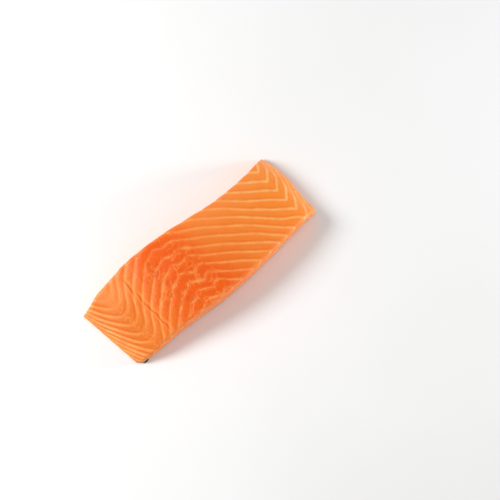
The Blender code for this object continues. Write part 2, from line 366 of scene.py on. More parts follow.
def add_points(grain, across, height, depth, rim):
    """Adds points and keeps what the relief and the finish need to know about them."""
    start = len(points)
    top_sheet = flake_sheet(grain, across)
    thickness = flake_thickness(grain, across)
    masks = [mask(grain, across) for mask in (cleft_mask, pit_mask, fleck_mask, lip_mask)]
    for k in range(len(across)):
        points.append((float(along_of(grain, across[k])), float(across[k]), float(height[k])))
        notes.append((top_sheet[k], thickness[k], grain, depth[k], rim[k], *(mask[k] for mask in masks)))
    return list(range(start, len(points))), top_sheet


def stitch(left, left_sheet, right, right_sheet):
    """Triangles between two neighbouring lines, each flake joined to itself."""
    i = j = 0
    while i < len(left) - 1 or j < len(right) - 1:
        left_next = left_sheet[i + 1] if i < len(left) - 1 else np.inf
        right_next = right_sheet[j + 1] if j < len(right) - 1 else np.inf
        if left_next <= right_next:
            faces.append((left[i], right[j], left[i + 1]))
            i += 1
        else:
            faces.append((left[i], right[j], right[j + 1]))
            j += 1


columns = []
for grain in grain_lines:
    across, lowered, rim = flesh_line(grain)
    height = np.maximum(top_height(grain, across) - lowered, FLOOR + THINNEST)
    columns.append(add_points(grain, across, height, 0 * across, rim))
for (left, left_sheet), (right, right_sheet) in zip(columns, columns[1:]):
    for row in range(EDGE_ROWS):
        faces.append((left[row], right[row], right[row + 1], left[row + 1]))
        faces.append((left[-row - 2], right[-row - 2], right[-row - 1], left[-row - 1]))
    inner = slice(EDGE_ROWS, -EDGE_ROWS)
    stitch(left[inner], left_sheet[inner], right[inner], right_sheet[inner])
print("points on top:", len(points), "faces on top:", len(faces))

# %% [markdown]
# ## The cut faces
#
# The knife leaves the two long faces nearly upright, a little fuller at half height because soft flesh
# sags. The sheets of fat run on down these faces, leaning as they go, so the flake count is carried
# down from the rim and changes slowly with depth. The walls are rings of points under the rim, and the
# last ring closes the slab where the skin begins.

# %% Walls and underside of the slab
WALL_SHARES = (0.93, 0.86, 0.78, 0.7, 0.62, 0.54, 0.46, 0.38, 0.3, 0.22, 0.14, 0.07, 0.0)
WALL_BULGE, BULGE_HEIGHT = 0.45, 8
RIPPLE, RIPPLE_LENGTH = 0.12, 22
SHEET_DIVE, DIVE_GROWTH = 0.045, 0.03
THICKEST_FLAKE = 11.0
UNMARKED = (0.0,) * 5

rim = [column[0][0] for column in columns]
rim += columns[-1][0][1:-1]
rim += [column[0][-1] for column in reversed(columns)]
rim += columns[0][0][-2:0:-1]
rim_places = np.array([points[corner] for corner in rim])
forward = np.roll(rim_places, -3, axis=0) - np.roll(rim_places, 3, axis=0)
outward = np.stack([forward[:, 1], -forward[:, 0]], axis=1)
outward /= np.linalg.norm(outward, axis=1)[:, None]

ring = rim
for share in WALL_SHARES:
    fullness = -5.2 * share ** 2 + 5.8 * share - 0.6
    at_rim = 1 if share < 0.9 else 0.5
    lower = []
    for corner, place, away in zip(rim, rim_places, outward):
        tall = place[2] - FLOOR
        ripple = RIPPLE * float(waves(place[0], place[1], RIPPLE_LENGTH, SEED + 2))
        out = min(1.0, tall / BULGE_HEIGHT) * (WALL_BULGE * fullness + ripple) * at_rim
        depth = (1 - share) * tall
        sheet, thickness, grain = notes[corner][:3]
        dive = SHEET_DIVE * depth * (1 + DIVE_GROWTH * depth)
        lower.append(len(points))
        points.append((place[0] + away[0] * out, place[1] + away[1] * out, FLOOR + share * tall))
        notes.append((sheet + dive, min(thickness, THICKEST_FLAKE), grain, depth, *UNMARKED))
    for k in range(len(ring)):
        after = (k + 1) % len(ring)
        faces.append((ring[after], ring[k], lower[k], lower[after]))
    ring = lower
faces.append(tuple(reversed(ring)))
print("points:", len(points), "rings of wall:", len(WALL_SHARES))

# %% [markdown]
# ## From lists to a mesh
#
# The lists become a mesh whose points carry named attributes. An attribute is a value for each point
# that geometry nodes and materials can both read, and that is how the count of the flakes gets from
# this script to the relief and to the colours. The mesh is moved once, so that its plan is centred
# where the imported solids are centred.

# %% Make the slab
NOTE_NAMES = ("sheet", "flake_mm", "grain", "depth_mm", "rim_mm", "cleft", "pit", "fleck", "lip")
places = np.array(points) * MM
plan_shift = np.array([
    (cad_low.x + cad_high.x) / 2 - (places[:, 0].min() + places[:, 0].max()) / 2,
    (cad_low.y + cad_high.y) / 2 - (places[:, 1].min() + places[:, 1].max()) / 2, 0.0,
])


def mesh_piece(name, places, faces):
    """A new object at the origin, with its faces turned outward."""
    mesh = bpy.data.meshes.new(name)
    mesh.from_pydata([tuple(place) for place in places], [], faces)
    work = bmesh.new()
    work.from_mesh(mesh)
    bmesh.ops.recalc_face_normals(work, faces=work.faces)
    work.to_mesh(mesh)
    work.free()
    mesh.shade_smooth()
    piece = bpy.data.objects.new(name, mesh)
    bpy.context.scene.collection.objects.link(piece)
    return piece


def note_points(piece, name, values):
    attribute = piece.data.attributes.new(name, "FLOAT", "POINT")
    attribute.data.foreach_set("value", np.asarray(values, np.float32))


slab = mesh_piece("salmon_flesh", places + plan_shift, faces)
for name, values in zip(NOTE_NAMES, np.array(notes, float).T):
    note_points(slab, name, values)
print("plan moved by", [round(value / MM, 2) for value in plan_shift], "mm")
print("slab:", len(slab.data.polygons), "faces")

# %% [markdown]
# Some stretches of the portion look different from the rest: the flakes are loose in the middle, the
# belly flap folds, and here and there the fat hardly shows. Each stretch is noted on the points as a
# soft number as well. Vertex groups could hold these too, but a material can't read them.

# %% Note the stretches
FOLD_PLACE, FOLD_HALF_WIDTH = -66.3, 3.6
MIDDLE_PLACE, MIDDLE_HALF_WIDTH = -10, 16
along_at, across_at = np.array(points).T[:2]
grain_at = np.array(notes, float)[:, 2]
quiet_middle = ease(6, 20, across_at) * ease(-46, -38, grain_at) * ease(-4, -14, grain_at)
quiet_flap = ease(8, 20, across_at) * ease(-74, -66, grain_at) * ease(-46, -58, grain_at)
quiet_start = 0.6 * bell(along_at, 2, 8)
stretches = {
    "loose": loose_mask(grain_at),
    "tone": grain_at + 0.4 * across_at * ease(-15, 15, grain_at),
    "bone_line": ease(-40, -34, grain_at) * ease(-18, -25, grain_at),
    "middle": bell(grain_at, MIDDLE_PLACE, MIDDLE_HALF_WIDTH),
    "fold": bell(grain_at, FOLD_PLACE, FOLD_HALF_WIDTH),
    "quiet": np.maximum(quiet_middle, quiet_start) + quiet_flap,
    # Painted sheen: the far side of the loin is noted paler, where a soft reflection of the light lies;
    # the quiet far part of the flap is noted paler as well.
    "sheen_and_pale_flap": ease(2, 22, across_at) * ease(2, 24, grain_at) + 1.2 * quiet_flap,
}
for name, values in stretches.items():
    note_points(slab, name, values)
print("stretches noted:", ", ".join(stretches))

# %% [markdown]
# ## Short words for node trees
#
# Node trees take many lines when every node is made, set and linked by hand. These helpers write them
# as sums: each call makes one node, links what it is given and returns the output to use next. They
# serve geometry nodes and materials alike.

# %% Node helpers


class Sketch:
    """Writes nodes into one tree."""

    def __init__(self, tree):
        self.tree = tree

    def node(self, kind, inputs=None, **settings):
        made = self.tree.nodes.new(kind)
        for name, value in settings.items():
            setattr(made, name, value)
        return self.fill(made, inputs or {})

    def fill(self, made, inputs):
        for name, value in inputs.items():
            self.feed(made.inputs[name], value)
        return made

    def out(self, kind, output, inputs=None, **settings):
        """One output of a new node."""
        return self.node(kind, inputs, **settings).outputs[output]

    def feed(self, socket, value):
        if isinstance(value, bpy.types.NodeSocket):
            self.tree.links.new(value, socket)
        else:
            socket.default_value = value

    def math(self, operation, *values):
        return self.out("ShaderNodeMath", 0, dict(enumerate(values)), operation=operation)

    def weigh(self, value, weight, base):
        """The value times its weight, added to the base."""
        return self.math("MULTIPLY_ADD", value, weight, base)

    def times(self, first, *others):
        for other in others:
            first = self.math("MULTIPLY", first, other)
        return first

    def fade(self, value, start, end, low=1.0, high=0.0):
        """Goes smoothly from low at start to high at end."""
        inputs = {"Value": value, "From Min": start, "From Max": end, "To Min": low, "To Max": high}
        return self.out("ShaderNodeMapRange", "Result", inputs, interpolation_type="SMOOTHSTEP")

    def noise(self, vector, scale, detail=2.0, roughness=0.5):
        inputs = {"Vector": vector, "Scale": scale, "Detail": detail, "Roughness": roughness}
        return self.out("ShaderNodeTexNoise", "Fac", inputs)

    def wander(self, *noise_words):
        """A noise that swings about zero."""
        return self.math("SUBTRACT", self.noise(*noise_words), 0.5)

    def vector(self, x, y, z):
        return self.out("ShaderNodeCombineXYZ", "Vector", {"X": x, "Y": y, "Z": z})

    def shifted(self, place, by):
        return self.out("ShaderNodeVectorMath", "Vector", {0: place, 1: by}, operation="ADD")

    def scaled(self, place, by):
        return self.out("ShaderNodeVectorMath", "Vector", {0: place, "Scale": by}, operation="SCALE")


def tree_with_inputs(name, sizes):
    """A geometry node tree with a named number input for each size, and a finish."""
    tree = bpy.data.node_groups.new(name, "GeometryNodeTree")
    geometry, finish = "NodeSocketGeometry", "NodeSocketMaterial"
    sockets = [("Geometry", "INPUT", geometry)]
    sockets += [(size, "INPUT", "NodeSocketFloat") for size in sizes]
    sockets += [("Seed", "INPUT", "NodeSocketInt"), ("Finish", "INPUT", finish)]
    for label, side, kind in sockets + [("Geometry", "OUTPUT", geometry)]:
        tree.interface.new_socket(name=label, in_out=side, socket_type=kind)
    return tree


def grow(piece, tree, values):
    """Runs a tree on a piece with these inputs and keeps the result as the piece's plain mesh."""
    modifier = piece.modifiers.new(tree.name, "NODES")
    modifier.node_group = tree
    for socket in tree.interface.items_tree:
        if socket.in_out == "INPUT" and socket.name in values:
            modifier[socket.identifier] = values[socket.name]
    graph = bpy.context.evaluated_depsgraph_get()
    grown = bpy.data.meshes.new_from_object(piece.evaluated_get(graph))
    piece.modifiers.clear()
    old = piece.data
    piece.data = grown
    bpy.data.meshes.remove(old)
    grown.name = piece.name
    return piece


def from_rgb(red, green, blue):
    """A shader colour from a colour read off the photograph, 0 to 255."""
    shares = [value / 255 for value in (red, green, blue)]
    linear = [s / 12.92 if s <= 0.04045 else ((s + 0.055) / 1.055) ** 2.4 for s in shares]
    return (*linear, 1.0)


print("flesh orange as a shader colour:", [round(value, 3) for value in from_rgb(248, 128, 58)])

# %% [markdown]
# ## The finish of the flesh
#
# Raw salmon is muscle with fat in it, wet on the surface. Its colour is not one orange: it is paler
# toward the belly and the back, and redder along the middle, where the fish has its dark muscle. Toward
# the back end the muscle and its fat are painted paler still, painted light that makes up for the back
# slope facing away from the lamp. The sheets of fat are lines about a millimetre wide with soft sides.
# All of this is computed from the flake count, so that nothing is painted twice. A photograph as a
# texture would be quicker, but it would smear on the cut faces and would carry the light of one day with
# it.

# %% Start the flesh material


def new_finish(name):
    """A material, a sketch of its nodes and its shader."""
    finish = bpy.data.materials.new(name)
    finish.use_nodes = True
    return finish, Sketch(finish.node_tree), finish.node_tree.nodes["Principled BSDF"]


def note(sketch, name):
    """One of the values kept on the points."""
    return sketch.out("ShaderNodeAttribute", "Fac", attribute_name=name)


def blend(sketch, share, below, above):
    """One colour over another."""
    made = sketch.node("ShaderNodeMix", data_type="RGBA")
    for socket, value in zip((made.inputs[0], made.inputs[6], made.inputs[7]), (share, below, above)):
        sketch.feed(socket, value)
    return made.outputs[2]


flesh_finish, look, flesh_shader = new_finish("raw salmon flesh")
flesh_place = look.out("ShaderNodeTexCoord", "Object")
loose_note, grain_note, sheet_note, depth_note, fold_note, flake_note = (
    note(look, name) for name in ("loose", "grain", "sheet", "depth_mm", "fold", "flake_mm")
)
print("material:", flesh_finish.name)

# %% [markdown]
# The muscle's colour follows the portion from belly to back on a ramp; its paler stops at the back end
# are partly painted light. The place on the ramp is one more note on the points, because the red of the
# middle reaches further back on the near side. A cloudy noise moves it to and fro, as blood and fat do in
# real muscle, and a second, finer noise lays deeper orange between the flakes where they are loose.

# %% Colour of the muscle
MUSCLE_COLOURS = (
    (-88, (221, 125, 35)), (-76, (227, 121, 30)), (-58, (240, 127, 32)), (-38, (242, 110, 14)),
    (-22, (245, 101, 5)), (-8, (242, 98, 5)), (18, (244, 132, 46)), (46, (254, 141, 50)),
    (70, (255, 146, 50)),
)
DEEP_MUSCLE = from_rgb(234, 84, 10)
RAMP_START, RAMP_END = -90.0, 90.0
CLOUD_SCALE, CLOUD_SWING, MOTTLE_SCALE = 90.0, 30.0, 420.0
muscle_ramp = look.node("ShaderNodeValToRGB")
ramp = muscle_ramp.color_ramp
for place, colour in MUSCLE_COLOURS:
    ramp.elements.new((place - RAMP_START) / (RAMP_END - RAMP_START)).color = from_rgb(*colour)
ramp.elements.remove(ramp.elements[0])
ramp.elements.remove(ramp.elements[-1])

cloud = look.wander(flesh_place, CLOUD_SCALE, 3.0)
tone_place = look.weigh(cloud, CLOUD_SWING, note(look, "tone"))
past_start = look.math("SUBTRACT", tone_place, RAMP_START)
look.feed(muscle_ramp.inputs["Fac"], look.math("DIVIDE", past_start, RAMP_END - RAMP_START))
mottling = look.fade(look.noise(flesh_place, MOTTLE_SCALE, 3.0, 0.6), 0.46, 0.7, 0.0, 1.0)
mottling = look.times(mottling, look.weigh(loose_note, 0.4, 0.12))
muscle_colour = blend(look, mottling, muscle_ramp.outputs["Color"], DEEP_MUSCLE)
print("stops on the ramp:", len(ramp.elements))

# %% [markdown]
# The distance to the nearest sheet of fat comes from the flake count: the count's distance to a whole
# number, times the thickness of a flake there. Two noises bend the lines by a fraction of a millimetre,
# more where the flakes are loose. The count is lifted above zero first, so that it folds back and forth
# in the same way everywhere.

# %% Distance to a sheet of fat
COUNT_LIFT = 20.0
BEND_SCALE, FIRM_BEND, LOOSE_BEND = 190.0, 0.07, 0.24
FINE_BEND_SCALE, FIRM_FINE_BEND, LOOSE_FINE_BEND = 800.0, 0.035, 0.08

looseness = look.weigh(loose_note, LOOSE_BEND, FIRM_BEND)
fine_looseness = look.weigh(loose_note, LOOSE_FINE_BEND, FIRM_FINE_BEND)
bent_sheet = look.math("ADD", sheet_note, COUNT_LIFT)
bent_sheet = look.weigh(look.wander(flesh_place, BEND_SCALE), looseness, bent_sheet)
bent_sheet = look.weigh(look.wander(flesh_place, FINE_BEND_SCALE), fine_looseness, bent_sheet)
sheet_mm = look.times(look.math("PINGPONG", bent_sheet, 0.5), flake_note)
print("loose lines bend up to", round((FIRM_BEND + LOOSE_BEND) / 2, 3), "of a flake to either side")

# %% [markdown]
# A noise varies the width of the lines, and others let them fade and break. Where the belly flap folds,
# the sheets are crumpled and the lines all but go. A pale halo lies around each line, and a band of
# painted shade runs just beside it, on the side of each groove that faces away from the light, strongest
# on the belly slope.

# %% Lines of fat
LINE_NARROW, LINE_WIDE = 0.85, 1.6
WIDTH_SCALE, BREAK_SCALE, FAINT_SCALE, CRUMPLE_SCALE = 150.0, 190.0, 110.0, 300.0
HALO_MM, GROOVE_SHADE_MM, GROOVE_SHADE_HALF_WIDTH = 2.6, 1.8, 1.1

patchy = look.noise(flesh_place, WIDTH_SCALE)
line_width = look.fade(patchy, 0.3, 0.7, LINE_NARROW, LINE_WIDE)
loose_width = look.fade(patchy, 0.45, 0.7, -0.25, 0.4)
line_width = look.weigh(loose_note, loose_width, line_width)
line_width = look.times(line_width, look.fade(grain_note, 55.0, 75.0, 1.0, 1.3))
line_core = look.fade(look.math("DIVIDE", sheet_mm, line_width), 0.05, 1.0)

broken = look.fade(look.noise(flesh_place, BREAK_SCALE), 0.38, 0.52, 0.0, 1.0)
held = look.weigh(look.math("SUBTRACT", broken, 1.0), loose_note, 1.0)
faint = look.fade(look.noise(flesh_place, FAINT_SCALE, 3.0), 0.3, 0.6, 0.6, 1.0)
crumple = look.fade(look.noise(flesh_place, CRUMPLE_SCALE, 3.0), 0.35, 0.6, 0.6, 1.0)
smooth = look.math("SUBTRACT", 1.0, look.times(fold_note, crumple))
shoulder = look.fade(grain_note, 82.5, 86.0, 1.0, 0.3)
line_share = look.times(line_core, held, faint, smooth, shoulder)
halo = look.times(look.fade(sheet_mm, 0.4, HALO_MM, 0.22, 0.0), shoulder)

# Painted shade: a darker band just beside each sheet of fat, on the groove's side away from the light.
wrapped = look.math("SUBTRACT", look.math("FRACT", look.math("ADD", bent_sheet, 0.5)), 0.5)
past_sheet = look.times(wrapped, flake_note)
from_groove_shade = look.math("ABSOLUTE", look.math("SUBTRACT", past_sheet, GROOVE_SHADE_MM))
groove_shade_strength = look.fade(grain_note, -80.0, -72.0, 0.75, 0.3)
groove_shade_share = look.times(look.fade(from_groove_shade, 0.0, GROOVE_SHADE_HALF_WIDTH, 1.0, 0.0), groove_shade_strength)
print("lines are", 2 * LINE_NARROW, "to", 2 * LINE_WIDE, "mm wide at the foot")

# %% [markdown]
# Between the crease and the seam the fat also runs in short branches around small bundles of muscle,
# most of them past the pin bones. The edges of Voronoi cells make them. The cells are drawn out along
# the sheets, a noise pulls them a little out of shape, and another keeps only patches of them.

# %% Branches of fat
BRANCH_CELL, BRANCH_STRETCH = 0.0052, 0.55
ALONG_SHEETS = (0.67, 0.74, 0.0)
PULL_SCALE, PULL = 260.0, 0.0018

pull_noise = {"Vector": flesh_place, "Scale": PULL_SCALE, "Detail": 2.0}
pull = look.scaled(look.out("ShaderNodeTexNoise", "Color", pull_noise), PULL)
pulled = look.shifted(pull, flesh_place)
along = look.out("ShaderNodeVectorMath", "Value", {0: pulled, 1: ALONG_SHEETS}, operation="DOT_PRODUCT")
drawn_out = look.scaled(look.scaled(ALONG_SHEETS, along), BRANCH_STRETCH - 1.0)
drawn_cells = {"Vector": look.shifted(pulled, drawn_out), "Scale": 1 / BRANCH_CELL}
branches = look.out("ShaderNodeTexVoronoi", "Distance", drawn_cells, feature="DISTANCE_TO_EDGE")
branches = look.fade(branches, 0.0, 0.12)
branch_patches = look.fade(look.noise(flesh_place, 150.0, 3.0), 0.46, 0.58, 0.0, 0.5)
past_crease = look.fade(grain_note, -50.0, -44.0, 0.0, 0.75)
branch_zone = look.times(past_crease, look.fade(grain_note, -20.0, -12.0, 1.0, 0.0))
branch_zone = look.math("MAXIMUM", branch_zone, loose_note)
branch_share = look.times(branches, branch_patches, branch_zone)
print("branches around cells of", round(BRANCH_CELL / MM, 1), "mm")

# %% [markdown]
# Knots of fat sit where a sheet meets the seam, and pale specks lie on the fold of the belly flap. All
# the fat is then put together. It shows less on the cut faces and in the quiet stretches.

# %% Knots, specks and all the fat
KNOT_SCALE, SPECK_SCALE = 460.0, 620.0

knots = look.fade(look.noise(flesh_place, KNOT_SCALE), 0.40, 0.56, 0.0, 1.0)
knots = look.times(note(look, "fleck"), knots)
fold_specks = look.fade(look.noise(flesh_place, SPECK_SCALE, 3.0), 0.48, 0.6, 0.0, 0.6)
fat_share = line_share
for more in (branch_share, knots, look.times(fold_specks, fold_note)):
    fat_share = look.math("MAXIMUM", fat_share, more)
on_top = look.fade(depth_note, 0.0, 3.0, 0.85, 0.55)
loud = look.weigh(note(look, "quiet"), -0.55, 1.0)
fat_share = look.times(fat_share, on_top, loud)
print("flesh material has", len(flesh_finish.node_tree.nodes), "nodes so far")

# %% [markdown]
# A pale band of painted highlight follows the rounded edges of the cut, where they catch the light. The
# cut faces are a deeper orange, and duller fat lies against the skin, thickest under the middle line. The
# tears, the pits and small crevices along the pin bones get painted shade, as hollows do, and so does the
# foot of each flake.

# %% Edges, cut faces and crevices
LAYER_THICKNESS = 0.0028
rim_mm = look.weigh(look.wander(flesh_place, 190.0), 5.0, note(look, "rim_mm"))
# Painted highlight: a pale band along the rounded edges of the cut, where they catch the light.
rim_highlight_share = look.fade(rim_mm, 0.2, 3.4, 0.5, 0.0)
wall_share = look.fade(depth_note, 0.0, 1.6, 0.0, 0.6)
height_here = look.out("ShaderNodeSeparateXYZ", "Z", {"Vector": flesh_place})
layer_top = look.weigh(note(look, "middle"), LAYER_THICKNESS, LAYER_THICKNESS)
layer_place = look.weigh(look.wander(flesh_place, 210.0), 0.0022, height_here)
skin_fat_share = look.fade(look.math("DIVIDE", layer_place, layer_top), 0.55, 1.1, 0.6, 0.0)

# Painted shade in small crevices along the pin-bone line and the fold of the flap.
crevice_shade = look.fade(look.noise(flesh_place, 400.0), 0.56, 0.68, 0.0, 1.0)
fold_line = look.times(look.math("POWER", fold_note, 10.0), 0.5)
crevice_shade_zone = look.math("MAXIMUM", note(look, "bone_line"), fold_line)
crevice_shade = look.times(crevice_shade, crevice_shade_zone, look.fade(depth_note, 0.0, 1.0, 0.6, 0.0))
# Painted shade at the bottoms of the tears and in the pits.
tear_shade_share = look.times(look.math("POWER", note(look, "cleft"), 8.0), 0.5)
hollow_shade_share = look.math("MAXIMUM", tear_shade_share, look.times(note(look, "pit"), 0.4))
print("fat against the skin up to", round(2 * LAYER_THICKNESS / MM, 1), "mm thick")

# %% [markdown]
# The colours lie over each other like washes of paint, each with its own share. The order matters: the
# painted shade of the tears and pits comes last, so that it darkens whatever lies under it. Each colour
# began as one read off the photograph and was shifted until it looked right in this light.

# %% Lay the colours over the muscle
PALE_MUSCLE, GROOVE_SHADE_COLOUR = from_rgb(252, 152, 80), from_rgb(232, 100, 30)
CUT_FACE_COLOUR, SKIN_FAT_COLOUR = from_rgb(255, 122, 24), from_rgb(236, 126, 62)
FAT_COLOUR, LIT_BACK_FAT_COLOUR = from_rgb(255, 168, 88), from_rgb(255, 192, 118)
CREVICE_SHADE_COLOUR, TEAR_SHADE_COLOUR = from_rgb(226, 84, 14), from_rgb(204, 70, 16)


def washed(sketch, colour, washes):
    """Lays colours over one another, each with its own share."""
    for share, above in washes:
        colour = blend(sketch, share, colour, above)
    return colour


# Partly painted light: the fat turns paler toward the back end, which also makes up for the back slope
# facing away from the lamp.
to_lit_back = look.fade(grain_note, 15.0, 62.0, 0.0, 1.0)
# Painted sheen on the far loin, and a paler quiet flap, laid on in pale muscle colour.
sheen_and_pale_flap_share, lip_share = look.times(note(look, "sheen_and_pale_flap"), 0.45), look.times(note(look, "lip"), 0.6)
washes = (
    (halo, PALE_MUSCLE), (groove_shade_share, GROOVE_SHADE_COLOUR), (sheen_and_pale_flap_share, PALE_MUSCLE), (rim_highlight_share, PALE_MUSCLE),
    (lip_share, PALE_MUSCLE), (wall_share, CUT_FACE_COLOUR), (skin_fat_share, SKIN_FAT_COLOUR),
    (fat_share, blend(look, to_lit_back, FAT_COLOUR, LIT_BACK_FAT_COLOUR)), (crevice_shade, CREVICE_SHADE_COLOUR),
    (hollow_shade_share, TEAR_SHADE_COLOUR),
)
look.feed(flesh_shader.inputs["Base Color"], washed(look, muscle_colour, washes))
print("colours laid over the muscle:", len(washes))

# %% [markdown]
# Light goes into raw fish and comes out again some millimetres away, the red part furthest. That keeps
# the shaded cut faces bright red-orange and softens every edge, so the shader scatters light under the
# surface. A thin wet film gives the soft shine. It is smoother over fat than over muscle. Two sizes of
# noise make a low bump: the fibres, drawn out from sheet to sheet, and the fine grain of wet muscle.

# %% Light in the flesh, shine and fine bump
FILM_SCALE, WET_GRAIN_SCALE = 420.0, 900.0
look.fill(flesh_shader, {
    "Subsurface Weight": 0.5, "Subsurface Radius": (1.0, 0.12, 0.06), "Subsurface Scale": 0.007,
    "Specular IOR Level": 0.22, "Coat Weight": 0.06, "Coat Roughness": 0.2,
})
film = look.fade(look.noise(flesh_place, FILM_SCALE, 3.0), 0.3, 0.7, 0.26, 0.5)
look.feed(flesh_shader.inputs["Roughness"], look.weigh(fat_share, -0.08, film))

fibre_place = look.vector(look.times(grain_note, 1.1), look.times(sheet_note, 1.6), depth_note)
bump_height = look.noise(fibre_place, 1.0, 3.0, 0.6)
wet_grain = look.noise(flesh_place, WET_GRAIN_SCALE, 4.0, 0.6)
for part, weight in ((wet_grain, 0.8), (fat_share, 0.3), (hollow_shade_share, -0.8)):
    bump_height = look.weigh(part, weight, bump_height)
bump = look.out("ShaderNodeBump", "Normal", {"Height": bump_height, "Strength": 0.6, "Distance": 0.0004})
look.feed(flesh_shader.inputs["Normal"], bump)
print("flesh material has", len(flesh_finish.node_tree.nodes), "nodes")

# %% [markdown]
# ## Relief of the flakes
#
# The slab is still smooth. A geometry node tree now presses the surface in along the sheets of fat,
# deeper on the belly slope where the flakes stand apart like shingles and hardly at all on the fold of
# the flap. It opens the tears and the pits, and roughens everything by a few hundredths of a
# millimetre. Its inputs are the depths that a maker would want to change. A displacement texture could
# do it too, but it would not know where the sheets are.

# %% Tree that presses in the relief
DEPTHS = (
    "Groove Depth", "Belly Groove Depth", "Groove Share", "Cleft Depth", "Pit Depth", "Roughness Depth",
)
relief_tree = tree_with_inputs("flake relief", DEPTHS)
relief = Sketch(relief_tree)
given = relief.node("NodeGroupInput").outputs


def named(sketch, name):
    """A value kept on the points, in geometry nodes."""
    return sketch.out("GeometryNodeInputNamedAttribute", "Attribute", {"Name": name}, data_type="FLOAT")


grain_here = named(relief, "grain")
share_to_sheet = relief.math("PINGPONG", relief.math("ADD", named(relief, "sheet"), COUNT_LIFT), 0.5)
belly_share = relief.fade(grain_here, -82.0, -72.0, 1.0, 0.0)
extra = relief.math("SUBTRACT", given["Belly Groove Depth"], given["Groove Depth"])
groove_depth = relief.weigh(extra, belly_share, given["Groove Depth"])
unfolded = relief.weigh(named(relief, "fold"), -0.8, 1.0)
groove = relief.times(relief.fade(share_to_sheet, 0.0, given["Groove Share"]), groove_depth, unfolded)
cleft = relief.times(named(relief, "cleft"), given["Cleft Depth"])
pit = relief.times(named(relief, "pit"), given["Pit Depth"])
flap = relief.fade(grain_here, -66.0, -53.0, 0.0, 1.0)
flap = relief.times(relief.fade(grain_here, -51.0, -47.0, 0.35, 0.0), flap)
pressed = relief.math("ADD", relief.math("ADD", groove, cleft), relief.math("ADD", pit, flap))
pressed = relief.times(pressed, relief.fade(named(relief, "depth_mm"), 0.0, 1.0, 1.0, 0.12))

position = relief.out("GeometryNodeInputPosition", "Position")
seed_shift = relief.vector(relief.times(given["Seed"], 0.37), 0.0, 0.0)
rough = relief.wander(relief.shifted(position, seed_shift), 380.0, 4.0, 0.6)
raised = relief.math("SUBTRACT", relief.times(rough, given["Roughness Depth"]), pressed)
normal = relief.out("GeometryNodeInputNormal", "Normal")
offset = relief.scaled(normal, relief.times(raised, MM))
moved = relief.out("GeometryNodeSetPosition", "Geometry", {
    "Geometry": given["Geometry"], "Offset": offset,
})
print("relief tree has", len(relief_tree.nodes), "nodes before its end")

# %% [markdown]
# Both trees of this lesson end alike: instances are made real, the finish is put on, and the result
# goes out. One helper writes that end.

# %% End the tree and run it on the slab


def end_tree(sketch, geometry, finish):
    """Realizes instances, sets the finish and gives the result."""
    plain = sketch.out("GeometryNodeRealizeInstances", "Geometry", {"Geometry": geometry})
    coated = sketch.out("GeometryNodeSetMaterial", "Geometry", {"Geometry": plain, "Material": finish})
    sketch.node("NodeGroupOutput", {"Geometry": coated})


end_tree(relief, moved, given["Finish"])
flesh = grow(slab, relief_tree, {
    "Groove Depth": 0.24, "Belly Groove Depth": 0.6, "Groove Share": 0.36,
    "Cleft Depth": 0.5 * CLEFT_DEPTH, "Pit Depth": 0.4, "Roughness Depth": 0.12,
    "Seed": SEED, "Finish": flesh_finish,
})
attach(flesh, "root")
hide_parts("flesh")
print("flesh:", len(flesh.data.polygons), "faces, finish", flesh.data.materials[0].name)

# %% [markdown]
# ## The skin
#
# Under the flesh lies the skin, a tough sheet under a millimetre thick. From above it shows only as a
# dark sliver at one corner of the belly end, where the flesh was trimmed and the skin was not. It is
# a closed sheet of its own, gridded like the flesh, with a note of how far each point is from the
# edge, so that the scales can keep clear of the cut.

# %% Sheet of skin
SHEET_BOTTOM = 0.22
SKIN_INSET = 0.45
SKIN_COLUMNS, SKIN_ROWS = 90, 32

skin_lines = np.linspace(BELLY_END + 0.3, BACK_END - 1.0, SKIN_COLUMNS)
skin_places, skin_edge = [], []
for height in (SHEET_BOTTOM, SKIN_THICKNESS):
    for grain in skin_lines:
        near = float(edge_of(SKIN_NEAR_EDGE, grain))
        far = float(edge_of(FAR_EDGE, grain)) - SKIN_INSET
        for across in np.linspace(near, far, SKIN_ROWS):
            skin_places.append((float(along_of(grain, across)), across, height))
            from_ends = min(grain - skin_lines[0], skin_lines[-1] - grain)
            skin_edge.append(min(across - near, far - across, from_ends))

skin_faces = []
top_start = SKIN_COLUMNS * SKIN_ROWS
for i in range(SKIN_COLUMNS - 1):
    for j in range(SKIN_ROWS - 1):
        k = i * SKIN_ROWS + j
        under = (k, k + 1, k + SKIN_ROWS + 1, k + SKIN_ROWS)
        skin_faces += [under, tuple(top_start + corner for corner in reversed(under))]
border = [i * SKIN_ROWS for i in range(SKIN_COLUMNS)]
border += [(SKIN_COLUMNS - 1) * SKIN_ROWS + j for j in range(1, SKIN_ROWS)]
border += [i * SKIN_ROWS + SKIN_ROWS - 1 for i in range(SKIN_COLUMNS - 2, -1, -1)]
border += list(range(SKIN_ROWS - 2, 0, -1))
for k, corner in enumerate(border):
    after = border[(k + 1) % len(border)]
    skin_faces.append((corner, after, top_start + after, top_start + corner))

skin_sheet = mesh_piece("salmon_skin", np.array(skin_places) * MM + plan_shift, skin_faces)
note_points(skin_sheet, "edge_mm", skin_edge)
print("skin sheet:", len(skin_faces), "faces")

# %% [markdown]
# ## The finish of the skin
#
# Wet salmon skin is silver along the belly and blue-grey to nearly black along the back, with a few
# dark spots above the middle line. The silver is a layer of tiny crystals, so the finish is partly
# metallic there and loses that toward the back.

# %% Skin material
SILVER, BACK_GREY, SPOT = from_rgb(186, 190, 186), from_rgb(58, 66, 70), from_rgb(26, 26, 28)
CORNER_BROWN, SKIN_EDGE = from_rgb(56, 44, 38), from_rgb(140, 92, 68)
SPOT_SCALE = 95.0

